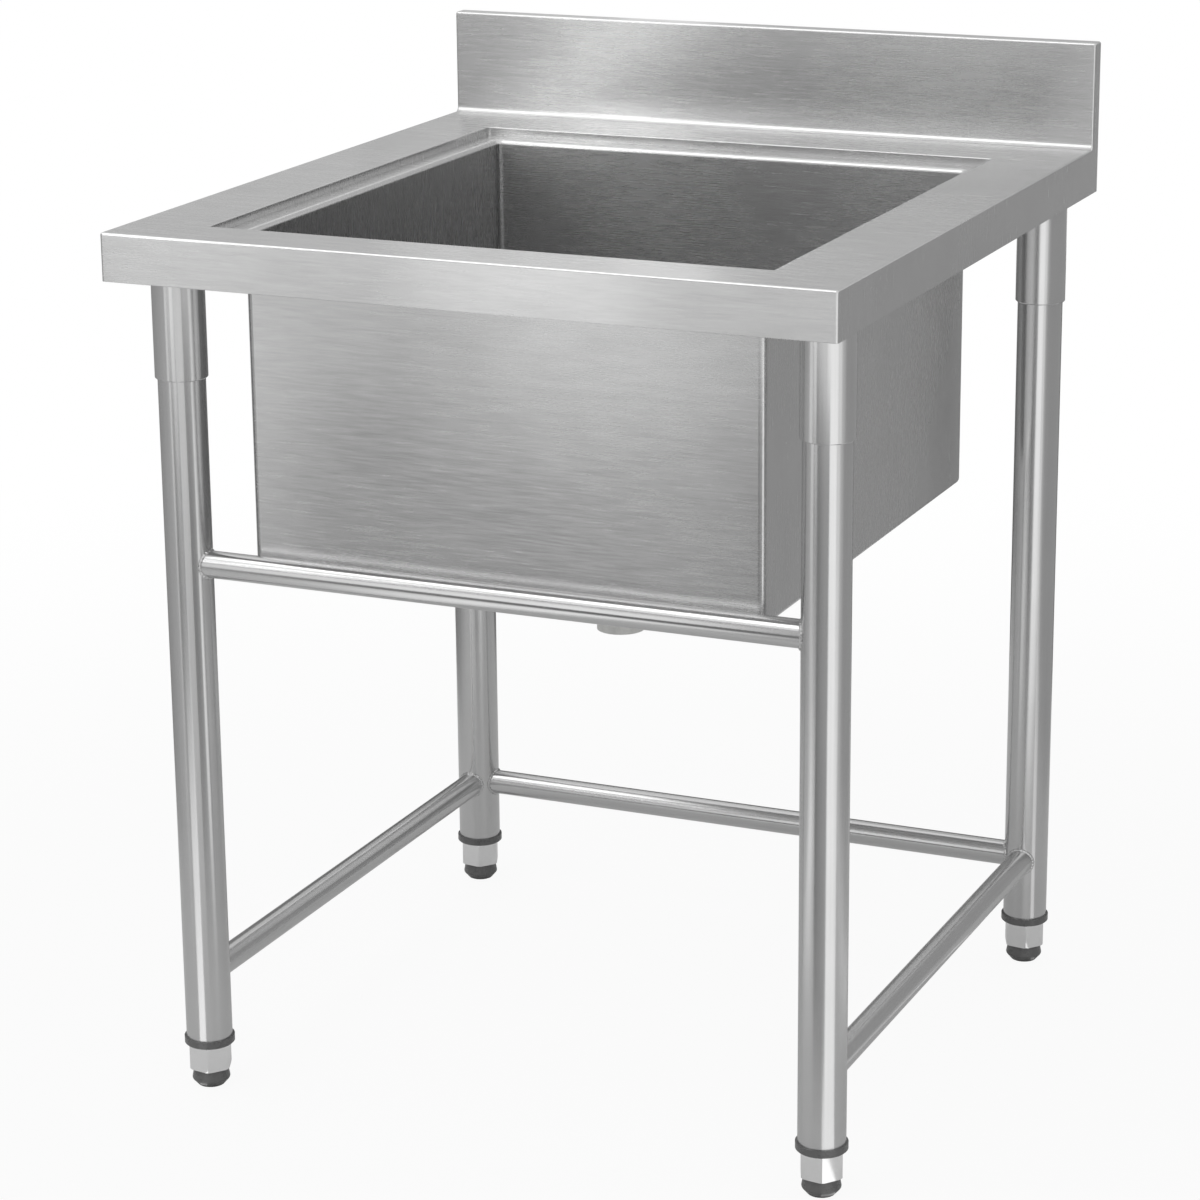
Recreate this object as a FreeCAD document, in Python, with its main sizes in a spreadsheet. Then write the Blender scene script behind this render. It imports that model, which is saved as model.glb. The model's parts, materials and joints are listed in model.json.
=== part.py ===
import FreeCAD, Part
import Sketcher
import os

# Free-standing laundry sink: a folded steel worktop with a splash and one deep bowl,
# on four tube legs with rails and screw-in feet, and a basket strainer in the bowl.
# Millimetres. +X is right, +Y is the wall side and +Z is up. The origin is on the
# floor, under the middle of the worktop.

doc = FreeCAD.newDocument("LaundrySink")

SIZES = (
    # Worktop: deck, skirts and splash
    ("width", 600), ("depth", 640), ("deck_top", 725), ("metal", 1.2),
    ("skirt_drop", 38), ("hem", 8), ("bend", 2),
    ("splash_rise", 90), ("splash_thick", 13.5), ("cove", 5),
    # Opening in the deck and the stepped edge of the bowl
    ("border_side", 66), ("border_front", 52), ("border_back", 73),
    ("opening_corner", 3), ("opening_edge", 0.8), ("step_drop", 7.5),
    ("ledge", 18), ("rim_bend", 4), ("flange_lap", 6),
    ("bowl_drop", 278), ("bowl_corner", 5), ("bowl_bottom_bend", 5),
    # Channels and socket plates under the deck
    ("channel_wide", 50), ("channel_tall", 20), ("channel_metal", 1.5),
    ("front_channel_wide", 34), ("channel_gap", 1), ("plate_long", 66), ("plate_thick", 3),
    # Legs, sleeves and rails
    ("leg_across", 38), ("leg_metal", 1.2), ("leg_side", 30), ("leg_front", 63),
    ("leg_back", 58), ("sleeve_metal", 1.8), ("sleeve_slip", 0.2), ("sleeve_drop", 124),
    ("sleeve_chamfer", 0.8), ("screw_across", 8), ("screw_long", 6), ("screw_key", 4),
    ("screw_rise", 19), ("rail_across", 22), ("rail_metal", 1),
    ("bowl_rail_gap", 1), ("rail_over_bottom", 3), ("low_rail_rise", 97.5),
    # Feet, from the floor up
    ("pad_across", 31.6), ("pad_top_across", 28), ("pad_base_across", 22), ("pad_tall", 15),
    ("pad_belly_rise", 5.5), ("pad_fillet", 2.5), ("hex_flats", 32), ("hex_tall", 22),
    ("hex_chamfer", 1), ("hex_turn", 22), ("stem_across", 16), ("stem_long", 40),
    ("stem_chamfer", 1.5), ("pivot_across", 10), ("pivot_long", 7), ("collar_across", 41.4),
    ("collar_tall", 6.3), ("collar_chamfer", 0.9), ("plug_long", 24),
    ("run", 0.05), ("face_gap", 0.2),
    # Strainer in the floor of the bowl, and its waste outlet
    ("seal_thick", 1), ("seal_wide", 12), ("strainer_flange", 57), ("strainer_metal", 1.5),
    ("cup_outer", 43), ("cup_deep", 46), ("ledge_deep", 10), ("ledge_wide", 2.5),
    ("hole_gap", 0.4), ("gasket_thick", 3), ("gasket_wide", 9), ("ring_thick", 1.5),
    ("locknut_tall", 10), ("locknut_wide", 11), ("lug_cut", 4), ("lug_wide", 12),
    ("spigot_outer", 23), ("spigot_long", 18), ("outlet_inner", 18.8), ("tail_outer", 20),
    ("tail_long", 27), ("tail_collar", 1.5), ("tail_neck", 0.3), ("washer_thick", 2),
    ("nut_outer", 29), ("nut_tall", 20), ("nut_lip", 3.5),
    ("basket_deep", 26), ("basket_metal", 0.8), ("basket_gap", 0.5), ("basket_taper", 3),
    ("basket_hole", 4), ("ring_step", 9.5), ("post_across", 6), ("knob_across", 17),
    ("knob_tall", 6), ("knob_fillet", 2), ("stopper_across", 40), ("stopper_thick", 2.5),
)

sheet = doc.addObject("Spreadsheet::Sheet", "Sizes")
for row, (alias, number) in enumerate(SIZES, start=1):
    sheet.set(f"A{row}", alias)
    sheet.set(f"B{row}", str(number))
    sheet.setAlias(f"B{row}", alias)
doc.recompute()


def of(text):
    """Turns @name into a reference to that cell of the sheet, in brackets for the sum."""
    return "(" + text.replace("@", "Sizes.") + ")"


# Places worked out from the sizes, as expressions
SKIRT_BOTTOM = of("@deck_top - @skirt_drop")
DECK_UNDER = of("@deck_top - @metal")
SIDE = of("@width / 2")
FRONT = of("-@depth / 2")
BACK = of("@depth / 2")
SPLASH_FRONT = of("@depth / 2 - @splash_thick")
OPENING_X = of("@width / 2 - @border_side")
OPENING_FRONT = of("-@depth / 2 + @border_front")
OPENING_BACK = of("@depth / 2 - @splash_thick - @border_back")
LEDGE_TOP = of("@deck_top - @step_drop")
BOWL_BOTTOM = of("@deck_top - @bowl_drop")
BOWL_FLOOR = of("@deck_top - @bowl_drop + @metal")
CHANNEL_TOP = DECK_UNDER
CHANNEL_BOTTOM = f"({DECK_UNDER} - Sizes.channel_tall)"
PLATE_BOTTOM = f"({CHANNEL_BOTTOM} - Sizes.plate_thick)"
SLEEVE_BOTTOM = of("@deck_top - @sleeve_drop")
LEG_X = of("@width / 2 - @leg_side")
LEG_FRONT_Y = of("-@depth / 2 + @leg_front")
LEG_BACK_Y = of("@depth / 2 - @leg_back")
LEG_RADIUS = of("@leg_across / 2")
LEG_BORE = of("@leg_across / 2 - @leg_metal")
# Outer face of the bowl's front wall: just behind the front rail, and at least a ledge inside the opening
BOWL_FRONT = (f"max({LEG_FRONT_Y} + Sizes.rail_across / 2 + Sizes.bowl_rail_gap; "
              f"{OPENING_FRONT} + Sizes.ledge - Sizes.metal)")
HEX_TOP = of("@pad_tall + @hex_tall")
COLLAR_BOTTOM = of("@pad_tall + @hex_tall + @face_gap")
LEG_BOTTOM = of("@pad_tall + @hex_tall + @face_gap + @collar_tall")
DRAIN_Y = f"(({OPENING_FRONT} + {OPENING_BACK}) / 2)"
FLANGE_UNDER = f"({BOWL_FLOOR} + Sizes.seal_thick)"
FLANGE_TOP = f"({FLANGE_UNDER} + Sizes.strainer_metal)"
BASKET_LEDGE = f"({FLANGE_TOP} - Sizes.ledge_deep)"
CUP_BOTTOM = f"({FLANGE_TOP} - Sizes.cup_deep)"
SPIGOT_BOTTOM = f"({CUP_BOTTOM} - Sizes.spigot_long)"

CORNERS = (
    ("front_left", f"-{LEG_X}", LEG_FRONT_Y),
    ("front_right", LEG_X, LEG_FRONT_Y),
    ("rear_left", f"-{LEG_X}", LEG_BACK_Y),
    ("rear_right", LEG_X, LEG_BACK_Y),
)

TOLERANCE = 1e-3
HALF_TURN = 180
FULL_TURN = 360
HEX_SIDES = 6
NUT_SIDES = 8
LUG_COUNT = 6
RING_COUNT = 3
HOLES_PER_RING = 6

NODES = []


def number_of(expression):
    """Works out an expression on the sheet as a plain number."""
    return float(sheet.evalExpression(expression))


def keep(piece):
    """Marks an object as a sub-part; its label is the node's name."""
    NODES.append(piece)
    return piece


def place(piece, x="0", y="0", z="0"):
    """Binds where an object stands."""
    piece.setExpression("Placement.Base.x", x)
    piece.setExpression("Placement.Base.y", y)
    piece.setExpression("Placement.Base.z", z)
    return piece


def new_body(label):
    """Starts a sub-part that is built up feature by feature."""
    body = doc.addObject("PartDesign::Body", "Body_" + label)
    body.Label = label
    return keep(body)


def origin_feature(body, role):
    """Finds one of the body's own origin planes or axes."""
    for feature in body.Origin.OriginFeatures:
        if feature.Role == role:
            return feature


def new_sketch(body, role, height="0"):
    """Puts a sketch on one of the body's origin planes, moved along its normal."""
    sketch = body.newObject("Sketcher::SketchObject", "Sketch")
    sketch.AttachmentSupport = [(origin_feature(body, role), "")]
    sketch.MapMode = "FlatFace"
    sketch.setExpression("AttachmentOffset.Base.z", height)
    return sketch


def fix_point(sketch, geometry, point, x, y):
    """Holds one point of a sketch at two expressions."""
    for kind, expression, axis in (("DistanceX", x, -2), ("DistanceY", y, -1)):
        if expression == "0":
            sketch.addConstraint(Sketcher.Constraint("PointOnObject", geometry, point, axis))
            continue
        value = number_of(expression)
        index = sketch.addConstraint(Sketcher.Constraint(kind, -1, 1, geometry, point, value))
        sketch.setExpression(f"Constraints[{index}]", expression)


def add_polygon(sketch, points):
    """Draws a closed outline through points given as pairs of expressions."""
    places = [FreeCAD.Vector(number_of(x), number_of(y), 0) for x, y in points]
    first = sketch.GeometryCount
    for index, start in enumerate(places):
        end = places[(index + 1) % len(places)]
        sketch.addGeometry(Part.LineSegment(start, end), False)
    for index in range(len(places)):
        line = first + index
        following = first + (index + 1) % len(places)
        sketch.addConstraint(Sketcher.Constraint("Coincident", line, 2, following, 1))
    for index, (x, y) in enumerate(points):
        fix_point(sketch, first + index, 1, x, y)
    return sketch


def add_rectangle(sketch, left, right, front, back):
    """Draws a rectangle from the places of its four sides."""
    return add_polygon(sketch, ((left, front), (right, front), (right, back), (left, back)))


def add_circle(sketch, x, y, radius):
    """Draws a circle from the place of its centre and its radius."""
    centre = FreeCAD.Vector(number_of(x), number_of(y), 0)
    circle = Part.Circle(centre, FreeCAD.Vector(0, 0, 1), number_of(radius))
    geometry = sketch.addGeometry(circle, False)
    fix_point(sketch, geometry, 3, x, y)
    index = sketch.addConstraint(Sketcher.Constraint("Radius", geometry, number_of(radius)))
    sketch.setExpression(f"Constraints[{index}]", radius)
    return sketch


def pad(body, sketch, length):
    """Adds material from a sketch along its normal."""
    feature = body.newObject("PartDesign::Pad", "Pad")
    feature.Profile = sketch
    feature.setExpression("Length", length)
    doc.recompute()
    return feature


def pocket(body, sketch, length, upward=False):
    """Takes material away, against the sketch's normal, or along it when upward."""
    before = body.Shape.Volume
    feature = body.newObject("PartDesign::Pocket", "Pocket")
    feature.Profile = sketch
    feature.setExpression("Length", length)
    feature.Reversed = upward
    doc.recompute()
    if body.Shape.Volume >= before:
        raise RuntimeError(f"a pocket in {body.Label} cuts nothing")
    return feature


def turn(body, points):
    """Turns an outline of radii and heights about the body's own vertical axis."""
    sketch = add_polygon(new_sketch(body, "XZ_Plane"), points)
    feature = body.newObject("PartDesign::Revolution", "Revolution")
    feature.Profile = sketch
    feature.ReferenceAxis = (sketch, ["V_Axis"])
    feature.Angle = FULL_TURN
    doc.recompute()
    return feature


def round_edges(body, radius, test):
    """Fillets the edges of the body whose bounding box passes the test."""
    base = body.Tip
    names = []
    for index, edge in enumerate(base.Shape.Edges, start=1):
        if test(edge.BoundBox):
            names.append(f"Edge{index}")
    if not names:
        raise RuntimeError(f"no edge to round in {body.Label}")
    feature = body.newObject("PartDesign::Fillet", "Fillet")
    feature.Base = (base, names)
    feature.setExpression("Radius", radius)
    doc.recompute()
    return feature


def repeat_around(body, feature, count):
    """Repeats a cut in equal steps about the body's own vertical axis."""
    pattern = body.newObject("PartDesign::PolarPattern", "PolarPattern")
    pattern.Originals = [feature]
    pattern.Axis = (origin_feature(body, "Z_Axis"), [""])
    pattern.Angle = FULL_TURN
    pattern.Occurrences = count
    body.Tip = pattern
    doc.recompute()
    return pattern


def cut_flats(body, count, half_flats, reach, low, tall):
    """Cuts equal flats round a turned blank, from a height upward."""
    sketch = new_sketch(body, "XY_Plane", low)
    add_rectangle(sketch, half_flats, reach, f"-{reach}", reach)
    return repeat_around(body, pocket(body, sketch, tall, upward=True), count)


def same(first, second):
    """Says whether two lengths agree."""
    return abs(first - second) < TOLERANCE


def is_vertical(box):
    """Says whether an edge stands upright."""
    return same(box.XLength, 0) and same(box.YLength, 0) and box.ZLength > TOLERANCE


def is_level_at(box, height):
    """Says whether an edge lies level at a height."""
    return same(box.ZMin, height) and same(box.ZMax, height)


def simple_box(name, low, high):
    """Makes a box from its low and high corners, each three expressions."""
    box = doc.addObject("Part::Box", name)
    for side, start, end in zip(("Length", "Width", "Height"), low, high):
        box.setExpression(side, f"{end} - {start}")
    return place(box, *low)


def simple_cylinder(name, radius, height, x, y, z):
    """Makes an upright cylinder."""
    cylinder = doc.addObject("Part::Cylinder", name)
    cylinder.setExpression("Radius", radius)
    cylinder.setExpression("Height", height)
    return place(cylinder, x, y, z)


def cut(name, base, tool):
    """Takes one object away from another."""
    feature = doc.addObject("Part::Cut", name)
    feature.Base = base
    feature.Tool = tool
    return feature


def label_node(piece, label):
    """Names a finished object and keeps it as a sub-part."""
    piece.Label = label
    return keep(piece)


def make_worktop():
    """Deck, three skirts and splash, folded from one sheet and open at the back."""
    body = new_body("worktop")
    outline = new_sketch(body, "XY_Plane", SKIRT_BOTTOM)
    pad(body, add_rectangle(outline, f"-{SIDE}", SIDE, FRONT, BACK), of("@skirt_drop"))
    upstand = new_sketch(body, "XY_Plane", of("@deck_top"))
    pad(body, add_rectangle(upstand, f"-{SIDE}", SIDE, SPLASH_FRONT, BACK), of("@splash_rise"))

    deck = number_of(of("@deck_top"))
    side = number_of(SIDE)
    front = number_of(FRONT)
    back = number_of(BACK)
    splash_front = number_of(SPLASH_FRONT)

    def cove_edge(box):
        return is_level_at(box, deck) and same(box.YMin, splash_front) and same(box.YMax, splash_front)

    def outer_bend(box):
        at_bottom = box.ZMax < deck - 1
        at_back = box.YMin > back - TOLERANCE
        on_end = same(box.XMin, box.XMax) and same(abs(box.XMin), side)
        across = same(box.YMin, box.YMax) and (same(box.YMin, front) or box.ZMin > deck + 1)
        return (on_end or across) and not at_bottom and not at_back

    round_edges(body, of("@cove"), cove_edge)
    round_edges(body, of("@bend"), outer_bend)

    hollow = new_sketch(body, "XY_Plane", SKIRT_BOTTOM)
    inner = of("@width / 2 - @hem")
    add_rectangle(hollow, f"-{inner}", inner, f"({FRONT} + Sizes.hem)", BACK)
    pocket(body, hollow, of("@metal"), upward=True)
    panel_seat = new_sketch(body, "XY_Plane", SKIRT_BOTTOM)
    inner = of("@width / 2 - @metal")
    add_rectangle(panel_seat, f"-{inner}", inner, f"({BACK} - Sizes.metal)", BACK)
    pocket(body, panel_seat, of("@metal"), upward=True)
    room = new_sketch(body, "XY_Plane", f"({SKIRT_BOTTOM} + Sizes.metal)")
    add_rectangle(room, f"-{inner}", inner, f"({FRONT} + Sizes.metal)", BACK)
    pocket(body, room, of("@skirt_drop - 2 * @metal"), upward=True)
    fold = new_sketch(body, "XY_Plane", DECK_UNDER)
    add_rectangle(fold, f"-{inner}", inner, f"({SPLASH_FRONT} + Sizes.metal)", BACK)
    pocket(body, fold, of("@splash_rise"), upward=True)

    under = number_of(DECK_UNDER)
    fold_front = number_of(f"({SPLASH_FRONT} + Sizes.metal)")
    round_edges(body, of("@cove + @metal"),
                lambda box: is_level_at(box, under) and same(box.YMin, fold_front)
                and same(box.YMax, fold_front))

    wall = new_sketch(body, "XY_Plane", LEDGE_TOP)
    wall_x = f"({OPENING_X} + Sizes.metal)"
    wall_front = f"({OPENING_FRONT} - Sizes.metal)"
    wall_back = f"({OPENING_BACK} + Sizes.metal)"
    add_rectangle(wall, f"-{wall_x}", wall_x, wall_front, wall_back)
    pad(body, wall, of("@step_drop - @metal"))
    opening = new_sketch(body, "XY_Plane", of("@deck_top"))
    add_rectangle(opening, f"-{OPENING_X}", OPENING_X, OPENING_FRONT, OPENING_BACK)
    pocket(body, opening, of("@step_drop"))
    low = number_of(LEDGE_TOP)
    round_edges(body, of("@opening_corner"),
                lambda box: is_vertical(box) and same(box.ZMin, low) and same(box.ZMax, deck))
    round_edges(body, of("@opening_corner + @metal"),
                lambda box: is_vertical(box) and same(box.ZMin, low) and same(box.ZMax, under)
                and box.YMax < splash_front)
    half = number_of(OPENING_X)
    near = number_of(OPENING_FRONT)
    far = number_of(OPENING_BACK)
    round_edges(body, of("@opening_edge"),
                lambda box: is_level_at(box, deck) and box.XMax < half + TOLERANCE
                and box.XMin > -half - TOLERANCE and box.YMin > near - TOLERANCE and box.YMax < far + TOLERANCE)


def make_splash_back():
    """Panel that closes the back of the splash and the worktop, with a hem below."""
    body = new_body("splash_back_panel")
    inner = of("@width / 2 - @metal")
    panel = new_sketch(body, "XY_Plane", SKIRT_BOTTOM)
    add_rectangle(panel, f"-{inner}", inner, f"({BACK} - Sizes.metal)", BACK)
    pad(body, panel, of("@skirt_drop + @splash_rise - @metal"))
    inner = of("@width / 2 - @hem")
    hem = new_sketch(body, "XY_Plane", SKIRT_BOTTOM)
    add_rectangle(hem, f"-{inner}", inner, f"({BACK} - Sizes.hem)", f"({BACK} - Sizes.metal)")
    pad(body, hem, of("@metal"))


def make_bowl():
    """Deep bowl hung by its flange under the stepped opening, with a hole for the waste."""
    body = new_body("bowl")
    outer_x = f"({OPENING_X} - Sizes.ledge + Sizes.metal)"
    outer_back = f"({OPENING_BACK} - Sizes.ledge + Sizes.metal)"
    shell = new_sketch(body, "XY_Plane", BOWL_BOTTOM)
    add_rectangle(shell, f"-{outer_x}", outer_x, BOWL_FRONT, outer_back)
    pad(body, shell, of("@bowl_drop - @step_drop"))
    flange = new_sketch(body, "XY_Plane", f"({LEDGE_TOP} - Sizes.metal)")
    lap_x = f"({OPENING_X} + Sizes.flange_lap)"
    add_rectangle(flange, f"-{lap_x}", lap_x, f"({OPENING_FRONT} - Sizes.flange_lap)",
                  f"({OPENING_BACK} + Sizes.flange_lap)")
    pad(body, flange, of("@metal"))
    room = new_sketch(body, "XY_Plane", LEDGE_TOP)
    inner_x = f"({OPENING_X} - Sizes.ledge)"
    add_rectangle(room, f"-{inner_x}", inner_x, f"({BOWL_FRONT} + Sizes.metal)",
                  f"({OPENING_BACK} - Sizes.ledge)")
    pocket(body, room, of("@bowl_drop - @step_drop - @metal"))

    bottom = number_of(BOWL_BOTTOM)
    floor = number_of(BOWL_FLOOR)
    ledge = number_of(LEDGE_TOP)
    flange_under = number_of(f"({LEDGE_TOP} - Sizes.metal)")
    wall_x = number_of(outer_x) + TOLERANCE

    def rim_edge(box, height):
        return is_level_at(box, height) and box.XMax < wall_x and box.XMin > -wall_x

    round_edges(body, of("@bowl_corner"),
                lambda box: is_vertical(box) and same(box.ZMin, floor))
    round_edges(body, of("@bowl_corner + @metal"),
                lambda box: is_vertical(box) and same(box.ZMin, bottom))
    round_edges(body, of("@bowl_bottom_bend - @metal"), lambda box: is_level_at(box, floor))
    round_edges(body, of("@bowl_bottom_bend"), lambda box: is_level_at(box, bottom))
    round_edges(body, of("@rim_bend - @metal"), lambda box: rim_edge(box, flange_under))
    round_edges(body, of("@rim_bend"), lambda box: rim_edge(box, ledge))

    drain = new_sketch(body, "XY_Plane", BOWL_FLOOR)
    add_circle(drain, "0", DRAIN_Y, of("@cup_outer + @hole_gap"))
    pocket(body, drain, of("@metal"))


def make_channel(label, left, right, front, back, along):
    """Open channel under the deck; along is the axis that its groove runs on."""
    outer = simple_box("Outer_" + label, (left, front, CHANNEL_BOTTOM), (right, back, CHANNEL_TOP))
    wall = "Sizes.channel_metal"
    low = [left, front, f"({CHANNEL_BOTTOM} + {wall})"]
    high = [right, back, CHANNEL_TOP]
    across = 0 if along == "y" else 1
    low[across] = f"({low[across]} + {wall})"
    high[across] = f"({high[across]} - {wall})"
    groove = simple_box("Groove_" + label, low, high)
    label_node(cut("Channel_" + label, outer, groove), label)


def make_channels():
    """Four channels that stiffen the deck; the side ones carry the leg sockets."""
    outer = f"({LEG_X} + Sizes.channel_wide / 2)"
    inner = f"({LEG_X} - Sizes.channel_wide / 2)"
    start = f"({FRONT} + Sizes.metal + Sizes.channel_gap)"
    end = f"({SPLASH_FRONT} - Sizes.cove)"
    make_channel("channel_left", f"(-{outer})", f"(-{inner})", start, end, "y")
    make_channel("channel_right", inner, outer, start, end, "y")
    stop = f"({start} + Sizes.front_channel_wide)"
    make_channel("channel_front", f"(-{inner})", inner, start, stop, "x")
    make_channel("channel_rear", f"(-{inner})", inner, f"({end} - Sizes.channel_wide)", end, "x")


def make_socket(corner, x, y):
    """Plate and sleeve that hold the top of one leg."""
    half_x = "Sizes.channel_wide / 2"
    half_y = "Sizes.plate_long / 2"
    low = (f"({x} - {half_x})", f"({y} - {half_y})", PLATE_BOTTOM)
    high = (f"({x} + {half_x})", f"({y} + {half_y})", CHANNEL_BOTTOM)
    label_node(simple_box("Plate_" + corner, low, high), "socket_plate_" + corner)

    body = new_body("leg_sleeve_" + corner)
    bore = of("@leg_across / 2 + @sleeve_slip")
    outer = of("@leg_across / 2 + @sleeve_slip + @sleeve_metal")
    turn(body, (
        (bore, SLEEVE_BOTTOM),
        (f"({outer} - Sizes.sleeve_chamfer)", SLEEVE_BOTTOM),
        (outer, f"({SLEEVE_BOTTOM} + Sizes.sleeve_chamfer)"),
        (outer, PLATE_BOTTOM),
        (bore, PLATE_BOTTOM),
    ))
    hole = new_sketch(body, "XZ_Plane")
    add_circle(hole, "0", f"({SLEEVE_BOTTOM} + Sizes.screw_rise)", of("@screw_across / 2"))
    pocket(body, hole, outer)
    place(body, x, y)


def make_set_screws():
    """One grub screw at the back of each sleeve, its tip on the leg."""
    screws = []
    for corner, x, y in CORNERS:
        shank = doc.addObject("Part::Cylinder", "Shank_" + corner)
        shank.setExpression("Radius", of("@screw_across / 2"))
        shank.setExpression("Height", of("@screw_long"))
        key = doc.addObject("Part::Prism", "Key_" + corner)
        key.Polygon = HEX_SIDES
        key.setExpression("Circumradius", of(f"@screw_key / 2 / cos({HALF_TURN} / {HEX_SIDES})"))
        key.setExpression("Height", of("@screw_long / 2"))
        for piece, start in ((shank, LEG_RADIUS), (key, of("@leg_across / 2 + @screw_long / 2"))):
            piece.Placement.Rotation = FreeCAD.Rotation(FreeCAD.Vector(1, 0, 0), -90)
            place(piece, x, f"({y} + {start})", f"({SLEEVE_BOTTOM} + Sizes.screw_rise)")
        screws.append(cut("Screw_" + corner, shank, key))
    group = doc.addObject("Part::Compound", "Screws")
    group.Links = screws
    label_node(group, "set_screws")


def make_leg(corner, x, y):
    """One tube leg, from its foot to the socket plate."""
    length = f"({PLATE_BOTTOM} - {LEG_BOTTOM})"
    tube = simple_cylinder("Tube_" + corner, LEG_RADIUS, length, x, y, LEG_BOTTOM)
    bore = simple_cylinder("Bore_" + corner, LEG_BORE, length, x, y, LEG_BOTTOM)
    label_node(cut("Leg_" + corner, tube, bore), "leg_" + corner)


def make_rail(label, start, end, rise):
    """Tube rail between two leg centres, its ends shaped to the legs."""
    along_x = start[1] == end[1]
    length = f"({end[0]} - {start[0]})" if along_x else f"({end[1]} - {start[1]})"
    if along_x:
        rotation = FreeCAD.Rotation(FreeCAD.Vector(0, 1, 0), 90)
    else:
        rotation = FreeCAD.Rotation(FreeCAD.Vector(1, 0, 0), -90)
    radii = (of("@rail_across / 2"), of("@rail_across / 2 - @rail_metal"))
    tubes = []
    for name, radius in zip(("Rail_", "Bore_"), radii):
        tube = doc.addObject("Part::Cylinder", name + label)
        tube.setExpression("Radius", radius)
        tube.setExpression("Height", length)
        tube.Placement.Rotation = rotation
        tubes.append(place(tube, start[0], start[1], rise))
    rail = cut("Hollow_" + label, tubes[0], tubes[1])
    for name, (x, y) in (("Start_", start), ("End_", end)):
        saddle = simple_cylinder(name + label, LEG_RADIUS, of("2 * @rail_across"), x, y,
                                 f"({rise} - Sizes.rail_across)")
        rail = cut(name + "cut_" + label, rail, saddle)
    label_node(rail, label)


def make_rails():
    """A high rail across the foot of the bowl's front, and low rails at the back and the sides."""
    places = {corner: (x, y) for corner, x, y in CORNERS}
    low = of("@low_rail_rise")
    high = f"({BOWL_BOTTOM} + Sizes.rail_over_bottom)"
    make_rail("front_rail", places["front_left"], places["front_right"], high)
    make_rail("rear_rail", places["rear_left"], places["rear_right"], low)
    make_rail("left_rail", places["front_left"], places["rear_left"], low)
    make_rail("right_rail", places["front_right"], places["rear_right"], low)


def make_foot(corner, x, y):
    """Plug in the end of a leg, screwed stem with a hex, and the pad under it."""
    plug = of("@leg_across / 2 - @leg_metal - @run")
    bore = of("@stem_across / 2 + @run")
    collar = of("@collar_across / 2")
    insert = new_body("foot_insert_" + corner)
    turn(insert, (
        (bore, COLLAR_BOTTOM),
        (f"({collar} - Sizes.collar_chamfer)", COLLAR_BOTTOM),
        (collar, f"({COLLAR_BOTTOM} + Sizes.collar_chamfer)"),
        (collar, LEG_BOTTOM),
        (plug, LEG_BOTTOM),
        (plug, f"({LEG_BOTTOM} + Sizes.plug_long)"),
        (bore, f"({LEG_BOTTOM} + Sizes.plug_long)"),
    ))
    place(insert, x, y)

    corner_radius = of(f"@hex_flats / 2 / cos({HALF_TURN} / {HEX_SIDES})")
    face_radius = f"({corner_radius} - Sizes.hex_chamfer)"
    stem_radius = of("@stem_across / 2")
    pivot = of("@pivot_across / 2")
    stem = new_body("foot_stem_" + corner)
    turn(stem, (
        ("0", of("@pad_tall - @pivot_long")),
        (pivot, of("@pad_tall - @pivot_long")),
        (pivot, of("@pad_tall + @face_gap")),
        (face_radius, of("@pad_tall + @face_gap")),
        (corner_radius, of("@pad_tall + @face_gap + @hex_chamfer")),
        (corner_radius, f"({HEX_TOP} - Sizes.hex_chamfer)"),
        (face_radius, HEX_TOP),
        (stem_radius, HEX_TOP),
        (stem_radius, f"({HEX_TOP} + Sizes.stem_long - Sizes.stem_chamfer)"),
        (f"({stem_radius} - Sizes.stem_chamfer)", f"({HEX_TOP} + Sizes.stem_long)"),
        ("0", f"({HEX_TOP} + Sizes.stem_long)"),
    ))
    cut_flats(stem, HEX_SIDES, of("@hex_flats / 2"), of("@hex_flats"), of("@pad_tall"), of("@hex_tall"))
    stem.Placement.Rotation = FreeCAD.Rotation(FreeCAD.Vector(0, 0, 1), 1)
    stem.setExpression("Placement.Rotation.Angle", of("@hex_turn"))
    place(stem, x, y)

    socket = of("@pivot_across / 2 + @run")
    socket_floor = of("@pad_tall - @pivot_long - @face_gap")
    belly = number_of(of("@pad_belly_rise"))
    foot_pad = new_body("foot_pad_" + corner)
    turn(foot_pad, (
        ("0", "0"),
        (of("@pad_base_across / 2"), "0"),
        (of("@pad_across / 2"), of("@pad_belly_rise")),
        (of("@pad_top_across / 2"), of("@pad_tall")),
        (socket, of("@pad_tall")),
        (socket, socket_floor),
        ("0", socket_floor),
    ))
    round_edges(foot_pad, of("@pad_fillet"), lambda box: is_level_at(box, belly))
    place(foot_pad, x, y)


def make_ring(label, inner, outer, low, high):
    """Plain ring on the axis of the drain."""
    body = new_body(label)
    turn(body, ((inner, low), (outer, low), (outer, high), (inner, high)))
    return place(body, y=DRAIN_Y)


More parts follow.
